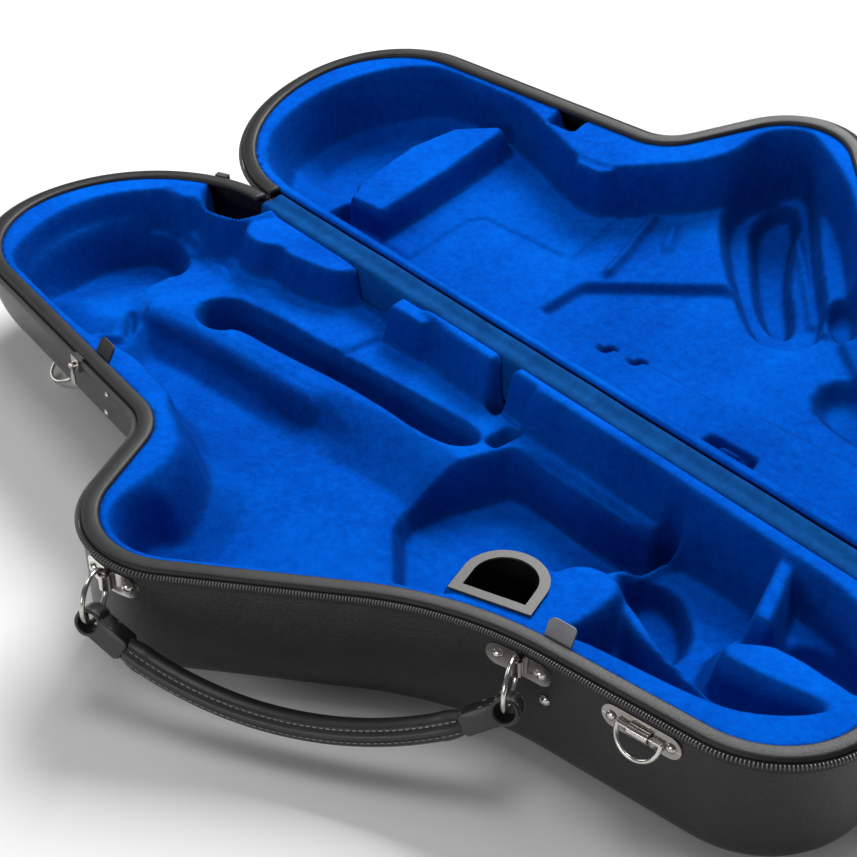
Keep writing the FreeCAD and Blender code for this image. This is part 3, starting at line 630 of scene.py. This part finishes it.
    # cross ridge, wedge and the far end
    r.lift(94, 6, [(282, 138), (308, 78), (318, 66), (338, 68), (334, 84), (306, 138)], 1)
    r.lift(98, 8, [(318, 38), (332, 54), (350, 68), (420, 70), (428, 42), (345, 18), (325, 22)], 1)
    r.sink(50, 10, [(336, 72), (330, 98), (352, 112), (398, 110), (410, 76)], 1)
    # foam that carries the mouthpiece cup
    r.lift(99.6, 5, cup_outline(-9), 1)
    r.keep_ledge(LEDGE, 6.0)
    r.clear_shell(0.0)
    r.soften(1.5)
    hole = r.depth_inside(np.array(cup_outline(CUP_WALL)))
    r.high = np.where(hole > 0, np.minimum(r.high, CUP_HOLE_FLOOR), r.high)
    return r


def lid_relief():
    """Plush of the lid, drawn as if the lid were a second base."""
    r = Relief(-440, 428, -236, 142, FOAM_TOP)
    r.sink(56, 14, [(-366, -70), (-402, -30), (-418, 30), (-404, 84), (-380, 112), (-358, 124), (-338, 130),
                    (-300, 134), (330, 134), (392, 120), (408, 90), (408, 20), (378, -4), (296, -26),
                    (196, -66), (150, -84), (122, -112), (84, -150), (40, -176), (0, -196), (-22, -196),
                    (-38, -168), (-36, -136), (-52, -106), (-84, -76), (-106, -58), (-146, -54),
                    (-183, -66), (-240, -82), (-320, -86)])
    # bow hollow
    r.sink(38, 26, [(-366, -60), (-398, -24), (-410, 30), (-396, 76), (-366, 92), (-316, 86), (-296, 40),
                    (-290, -30), (-300, -74)])
    r.lift(83, 4, [(-298, 12), (-296, 40), (-290, 103), (-234, 97), (-233, 20), (-238, -58), (-250, -64),
                   (-286, -34)], 0)
    r.sink(30, 6, [(-308, 112), (-306, 84), (-288, 80), (-278, 92), (-280, 112)], 1)
    r.bead(-2.6, 2.0, [(-236, 118), (-236, 102), (-195, 104), (-195, 34), (-186, 23), (-94, 18)])
    # body floor, slightly lower than the long step beside the hinge
    r.sink(49, 5, [(-58, 78), (-54, 30), (40, -40), (150, -50), (210, -10), (300, 0), (400, 30), (400, 46),
                   (250, 53), (172, 58), (127, 67), (55, 70), (17, 75)], 0)
    r.sink(36, 3, [(12, 80), (13, 68), (24, 67), (23, 79)], 0)
    r.sink(36, 3, [(42, 76), (43, 64), (53, 63), (52, 75)], 0)
    r.sink(44, 4, [(148, 114), (149, 95), (194, 93), (197, 112)], 0)
    r.lift(62, 4, [(162, 110), (163, 98), (188, 97), (190, 108)], 0)
    r.bead(-2.6, 2.0, [(-82, 14), (-91, -54), (-76, -65)])
    # curved creases between the body and the bell
    r.bead(7, 3.5, [(-66, -66), (-60, -44), (-52, -20), (-45, 9)])
    r.bead(4, 4.0, [(-44, -68), (-36, -56), (-30, -45)])
    r.sink(34, 8, [(-34, -130), (-24, -100), (26, -54), (84, -14), (108, -8), (134, -22), (138, -46),
                   (124, -68), (80, -111), (38, -158), (8, -192), (-14, -194), (-28, -168)], 1)
    r.sink(19, 8, [(-20, -170), (-18, -134), (-2, -112), (50, -58), (84, -34), (108, -34), (104, -54),
                   (57, -98), (6, -176)], 1)
    r.bead(5, 4, [(30, -138), (60, -112), (90, -84), (112, -62)])
    # recesses towards the neck
    r.sink(40, 8, [(118, -58), (120, -84), (136, -92), (164, -58), (154, -40)], 1)
    r.sink(34, 12, [(168, -8), (176, 22), (206, 32), (260, 34), (330, 30), (330, 0), (262, -14),
                    (200, -30)], 1)
    r.lift(90, 10, [(330, -16), (336, 60), (400, 60), (430, 20), (380, -20)], 1)
    # notch behind the locating tab
    r.lift(98, 5, [(-150, -40), (-92, -42), (-104, -90), (-150, -90)], 1)
    r.keep_ledge(LEDGE, 6.0)
    r.sink(NOTCH_FLOOR, 1.5, tab_notch(-187.0, -93.2, (-0.077, -0.997)), 0)
    r.sink(NOTCH_FLOOR, 1.5, tab_notch(264.0, -45.5, (0.177, -0.984)), 0)
    r.clear_shell(TOP - LID_DEPTH)
    r.soften(1.6)
    return r


def lay_plush(name, relief, body, replaced, on_lid):
    """Plush insert of one tray, with its painted shade for steep walls and deep hollows kept as a point
    attribute.
    """
    points, faces, painted_shade = relief_mesh(relief, -PLUSH_INSET, PLUSH_THICK)
    piece = make_piece(name, points, faces, PLUSH, body, on_lid, (replaced,))
    piece.data.attributes.new("painted_pile_shade", "FLOAT", "POINT").data.foreach_set("value", painted_shade.astype(np.float32))
    return piece


base_plush = lay_plush("base_plush_insert", base_relief(), "base", "base_foam_insert", False)
lid_plush = lay_plush("lid_plush_insert", lid_relief(), "lid", "lid_foam_insert", True)


# ------------------------------------------------------------------ rolled edging and zipper
EDGE_SECTION = rounded_section(0.3, 12.6, 97.2, 102.9, 2.7, crown=0.6)


def roll_edging(name, body, replaced, on_lid):
    """Rolled edging along the rim of one tray."""
    points, faces = rim_sweep(lambda station, length: EDGE_SECTION)
    return make_piece(name, points, faces, EDGING, body, on_lid, (replaced,))


roll_edging("base_rolled_edging", "base", "base_rim_lip", False)
roll_edging("lid_rolled_edging", "lid", "lid_rim_lip", True)


def zip_coil(name, body, replaced, on_lid):
    """One small rounded loop of the coil at each pitch."""
    path, outward, length = rim_path(TOOTH_PITCH)
    points, faces = [], []
    section = [(0.0, 97.7), (1.2, 97.5), (2.5, 98.1), (2.7, COIL_Z), (2.5, 99.9), (1.2, 100.5), (0.0, 100.3)]
    for here, ray in zip(path, outward):
        if here[1] > HINGE_Y - COIL_GAP:
            continue
        side = np.array((-ray[1], ray[0]))
        first = len(points)
        for shift, grow in ((-0.62, 0.75), (-0.25, 1.0), (0.25, 1.0), (0.62, 0.75)):
            for out, z in section:
                spot = here + ray * (COIL_OUTSET + out * grow) + side * shift
                points.append((spot[0], spot[1], COIL_Z + (z - COIL_Z) * grow))
        faces += [tuple(first + n for n in face) for face in sweep_faces(4, len(section))]
    return make_piece(name, points, faces, TEETH, body, on_lid, (replaced,), smooth=False)


zip_coil("base_zip_coil", "base", "base_zip_teeth", False)
zip_coil("lid_zip_coil", "lid", "lid_zip_teeth", True)


# ------------------------------------------------------------------ cloth hinge
CLOTH_ACROSS, CLOTH_ALONG = 61, 230   # points across and along each hinge cloth


def hinge_cloth(name, side, ends_x, thick, wave, material, replaced):
    """Cloth glued to both trays: side is its section (y, z) on the base, and the lid's mirrors it.
    """
    base_side = np.array([(0.0, y, z) for y, z in side])
    profile = np.concatenate((base_side, to_lid(base_side[:-1][::-1])))[:, 1:]
    fine = np.linspace(0, 1, CLOTH_ACROSS)
    length = np.concatenate(([0], np.cumsum(np.linalg.norm(np.diff(profile, axis=0), axis=1))))
    ys = np.interp(fine * length[-1], length, profile[:, 0])
    zs = np.interp(fine * length[-1], length, profile[:, 1])
    for _ in range(3):
        ys[1:-1] = (ys[:-2] + ys[1:-1] * 2 + ys[2:]) / 4
        zs[1:-1] = (zs[:-2] + zs[1:-1] * 2 + zs[2:]) / 4
    stations = np.linspace(ends_x[0], ends_x[1], CLOTH_ALONG)
    fold = np.exp(-((fine - 0.5) / 0.12) ** 2)
    rows = []
    for x in stations:
        ripple = wave * (0.6 * math.sin(x / 31.0) + 0.4 * math.sin(x / 12.7 + 1.3))
        rows.append(np.column_stack((np.full(CLOTH_ACROSS, x), ys, zs + ripple * fold)))
    points = np.array(rows).reshape(-1, 3)
    faces = []
    for i in range(CLOTH_ALONG - 1):
        for j in range(CLOTH_ACROSS - 1):
            a = i * CLOTH_ACROSS + j
            faces.append((a, a + CLOTH_ACROSS, a + CLOTH_ACROSS + 1, a + 1))
    piece = make_piece(name, points, faces, material, None, replaced=(replaced,))
    solidify = piece.modifiers.new("thick", "SOLIDIFY")
    solidify.thickness = thick * MM
    solidify.offset = -1
    seen = bpy.context.evaluated_depsgraph_get()
    solid = bpy.data.meshes.new_from_object(piece.evaluated_get(seen))
    piece.modifiers.clear()
    piece.data = solid
    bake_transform(piece)
    return piece


hinge_cloth("hinge_lining_cloth",
            [(141.2, 62.0), (141.4, 80.0), (142.0, 94.0), (143.6, 98.4), (147.0, 99.2), (151.0, 98.7),
             (HINGE_Y, 97.6)],
            (LIP_ENDS_X[0] + 6.0, LIP_ENDS_X[1] - 4.0), 1.1, 0.9, GUSSET, "hinge_gusset")
hinge_cloth("hinge_outer_cloth", [(153.75, 56.5), (153.75, 80.0), (153.8, 94.0), (154.2, 96.0)],
            (LIP_ENDS_X[0] + 3.0, LIP_ENDS_X[1] - 2.0), 0.55, 0.3, VINYL, "hinge_outer_strip")


# ------------------------------------------------------------------ handle
HANDLE_ALONG = np.array((0.835147, 0.550026, 0.0))
HANDLE_OUT = np.array((0.550026, -0.835147, 0.0))
HANDLE_DROOP = math.radians(68.0)
HANDLE_START = np.array((259.918, -78.983, 84.0))
SPAN = 275.7
GRIP_START, GRIP_RISE, GRIP_SAG = 24.0, 30.0, 57.0
GRIP_R = 9.9
SEAM_TURN = 26               # degrees from the grip's outer edge to each seam
EYE_RISE = 15.8
LOOP_HOLE = 6.6              # radius of the loop's hole round the ring
LOOP_R = 9.4                 # and of its outside
LOOP_HALF = 8.4              # half the loop's width
LOOP_EDGE = 1.3
STITCH_PITCH = 4.4


def to_handle(points):
    """Carry points from the handle's own frame to where it hangs.

    In that frame x runs from the neck ring to the bell ring and y outwards.
    """
    points = np.array(points, float).reshape(-1, 3)
    up = np.array((0.0, 0.0, 1.0))
    out = HANDLE_OUT * math.cos(HANDLE_DROOP) - up * math.sin(HANDLE_DROOP)
    face = up * math.cos(HANDLE_DROOP) + HANDLE_OUT * math.sin(HANDLE_DROOP)
    return HANDLE_START - points[:, :1] * HANDLE_ALONG + points[:, 1:2] * out + points[:, 2:] * face


def grip_arc():
    """Centre, radius and end angles of the arc through the grip's two ends and its middle."""
    half = SPAN / 2 - GRIP_START
    rise = GRIP_SAG - GRIP_RISE
    radius = (half * half + rise * rise) / (2 * rise)
    centre = np.array((SPAN / 2, GRIP_SAG - radius))
    reach = math.asin(half / radius)
    return centre, radius, reach


def grip_frame(turn):
    """Point and outward direction of the grip's arc at an angle from its middle."""
    centre, radius, _ = grip_arc()
    ray = np.array((math.sin(turn), math.cos(turn)))
    return centre + ray * radius, ray


def small_threads(spots):
    """Rounded thread lengths; each spot is (middle, direction, half length, radius)."""
    points, faces = [], []
    for middle, direction, half, radius in spots:
        direction = direction / np.linalg.norm(direction)
        other = np.cross(direction, (0.31, 0.52, 0.79))
        other /= np.linalg.norm(other)
        third = np.cross(direction, other)
        first = len(points)
        for share, grow in ((-1.0, 0.35), (-0.72, 0.9), (0.0, 1.0), (0.72, 0.9), (1.0, 0.35)):
            for k in range(6):
                angle = math.pi * k / 3
                arm = other * math.cos(angle) + third * math.sin(angle)
                points.append(middle + direction * half * share + arm * radius * grow)
        faces += [tuple(first + n for n in face) for face in sweep_faces(5, 6)]
    return points, faces


def sew_grip():
    """Leather grip with a raised edge between two sewn seams."""
    _, radius, reach = grip_arc()
    turns = np.linspace(-reach, reach, 110)
    around = np.radians(np.arange(0, 360, 5))
    points = []
    for turn in turns:
        spot, ray = grip_frame(turn)
        from_end = (reach - abs(turn)) * radius
        body = GRIP_R - 1.6 * math.exp(-(from_end / 5.0) ** 2) + 0.5 * math.exp(-((from_end - 13) / 3.0) ** 2)
        for angle in around:
            off = math.degrees(angle) - 90
            r = body - 0.9 + 0.9 * math.exp(-(off / 12) ** 2)
            r -= 0.4 * (math.exp(-((off - SEAM_TURN) / 5) ** 2) + math.exp(-((off + SEAM_TURN) / 5) ** 2))
            points.append((*(spot + ray * r * math.cos(angle)), r * math.sin(angle)))
    make_piece("handle_grip_leather", to_handle(points), sweep_faces(len(turns), len(around)), HANDLE,
               "handle", replaced=("handle_grip",))
    threads = []
    for side in (-SEAM_TURN, SEAM_TURN):
        angle = math.radians(90 + side)
        for turn in np.arange(-reach + 0.02, reach - 0.02, STITCH_PITCH / radius):
            spot, ray = grip_frame(turn)
            flat = spot + ray * (GRIP_R - 0.75) * math.cos(angle)
            middle = np.array((*flat, (GRIP_R - 0.75) * math.sin(angle)))
            threads.append((middle, np.array((ray[1], -ray[0], 0.0)), 1.5, 0.42))
    points, faces = small_threads(threads)
    make_piece("handle_grip_stitches", to_handle(points), faces, STITCH, "handle")


def sew_loop(name, mirrored, replaced):
    """Strap end folded round a ring, sewn to itself and let into the grip."""
    eye = np.array((0.0, EYE_RISE))
    _, _, reach = grip_arc()
    end, _ = grip_frame(-reach)
    towards = end - eye
    length = np.linalg.norm(towards)
    towards /= length
    across = np.array((-towards[1], towards[0]))
    points, threads = [], []
    turns = np.radians(np.arange(0, 360, 5))

    def spot_at(turn, r, z):
        plan = eye + (towards * math.cos(turn) + across * math.sin(turn)) * r
        x = SPAN - plan[0] if mirrored else plan[0]
        return np.array((x, plan[1], z))

    def outer(turn):
        if math.cos(turn) <= 0:
            return LOOP_R
        flat = min((length + 2.0) / math.cos(turn), (LOOP_R - 2.0) / max(abs(math.sin(turn)), 1e-6))
        return max(LOOP_R, flat)

    for turn in turns:
        section = rounded_section(LOOP_HOLE, outer(turn), -LOOP_HALF, LOOP_HALF, LOOP_EDGE)
        points += [spot_at(turn, r, z) for r, z in section]
    faces = sweep_faces(len(turns), len(section), closed_path=True)
    if mirrored:
        faces = [tuple(reversed(face)) for face in faces]
    make_piece(name, to_handle(points), faces, HANDLE, "handle", replaced=(replaced,))
    for turn in np.radians(np.arange(-28, 330, 24)):
        for z in (2.2 - LOOP_HALF, LOOP_HALF - 2.2):
            here = spot_at(turn, outer(turn) - 0.05, z)
            there = spot_at(turn + 0.1, outer(turn + 0.1) - 0.05, z)
            threads.append((here, there - here, 1.4, 0.4))
    points, faces = small_threads(threads)
    make_piece(name + "_stitches", to_handle(points), faces, STITCH, "handle")


sew_grip()
sew_loop("handle_loop_neck", False, "handle_loop_neck_side")
sew_loop("handle_loop_bell", True, "handle_loop_bell_side")


# ------------------------------------------------------------------ finishes of the CAD nodes
NODE_FINISH = {
    "base_shell": VINYL, "lid_shell": VINYL, "hinge_outer_strip": VINYL, "base_zip_tape": TAPE,
    "lid_zip_tape": TAPE, "mouthpiece_cup": CUP, "bow_locating_tab": DARK_TAB, "neck_locating_tab": TAB,
    "handle_grip": HANDLE, "handle_loop_bell_side": HANDLE, "handle_loop_neck_side": HANDLE,
    "handle_core": CORE}
for node_name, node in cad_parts.items():
    node.data.materials.clear()
    node.data.materials.append(NODE_FINISH.get(node_name, NICKEL))


# ------------------------------------------------------------------ floor, light and camera
CASE_MIDDLE = Vector((0.0, 0.1, 0.08))


def lay_floor():
    """White disc that catches the shadow."""
    mesh = bpy.data.meshes.new("floor")
    turns = np.radians(np.arange(0, 360, 3.75))
    rim = [(FLOOR_RADIUS * math.cos(t), FLOOR_RADIUS * math.sin(t), 0) for t in turns]
    mesh.from_pydata(rim, [], [tuple(range(len(rim)))])
    floor = bpy.data.objects.new("floor", mesh)
    bpy.context.scene.collection.objects.link(floor)
    paint, _, _ = new_material("floor_paint", (0.93, 0.93, 0.93), 0.85, Specular_IOR_Level=0.1)
    mesh.materials.append(paint)


def soft_light(name, place, size, power):
    """Rectangular light aimed at the case's middle; place in metres, power in watts."""
    data = bpy.data.lights.new(name, "AREA")
    data.shape = "RECTANGLE"
    data.size, data.size_y = size
    data.energy = power
    lamp = bpy.data.objects.new(name, data)
    lamp.location = place
    lamp.rotation_euler = (CASE_MIDDLE - Vector(place)).to_track_quat("-Z", "Y").to_euler()
    bpy.context.scene.collection.objects.link(lamp)


def white_studio():
    """World that gives a dim, even light but is white to the camera."""
    world = bpy.data.worlds.new("studio")
    bpy.context.scene.world = world
    world.use_nodes = True
    tree = world.node_tree
    dim = tree.nodes["Background"]
    dim.inputs["Color"].default_value = (1, 1, 1, 1)
    dim.inputs["Strength"].default_value = 0.11
    backdrop = add_node(tree, "ShaderNodeBackground", Color=(1, 1, 1, 1), Strength=0.95)
    rays = add_node(tree, "ShaderNodeLightPath")
    choose = add_node(tree, "ShaderNodeMixShader")
    tree.links.new(rays.outputs["Is Camera Ray"], choose.inputs[0])
    tree.links.new(dim.outputs[0], choose.inputs[1])
    tree.links.new(backdrop.outputs[0], choose.inputs[2])
    tree.links.new(choose.outputs[0], tree.nodes["World Output"].inputs["Surface"])


def place_camera():
    """The photo's view: a short telephoto from above the neck end."""
    lens = bpy.data.cameras.new("camera")
    lens.lens = 71.4
    lens.sensor_width = 36.0
    lens.clip_start = 0.05
    lens.clip_end = 20.0
    camera = bpy.data.objects.new("camera", lens)
    camera.location = (0.7996, -0.5930, 0.8075)
    camera.rotation_euler = Vector((-0.624, 0.520, -0.583)).to_track_quat("-Z", "Y").to_euler()
    bpy.context.scene.collection.objects.link(camera)
    bpy.context.scene.camera = camera


lay_floor()
soft_light("back_light", (-0.9, 1.9, 2.1), (1.5, 1.0), 92)
soft_light("top_light", (0.1, 0.1, 2.6), (1.0, 1.0), 14)
soft_light("left_light", (-2.2, -0.9, 1.5), (1.4, 1.4), 13)
soft_light("front_light", (0.6, -2.4, 0.9), (1.6, 0.7), 15)
white_studio()
place_camera()
bpy.context.scene.view_settings.view_transform = "Standard"
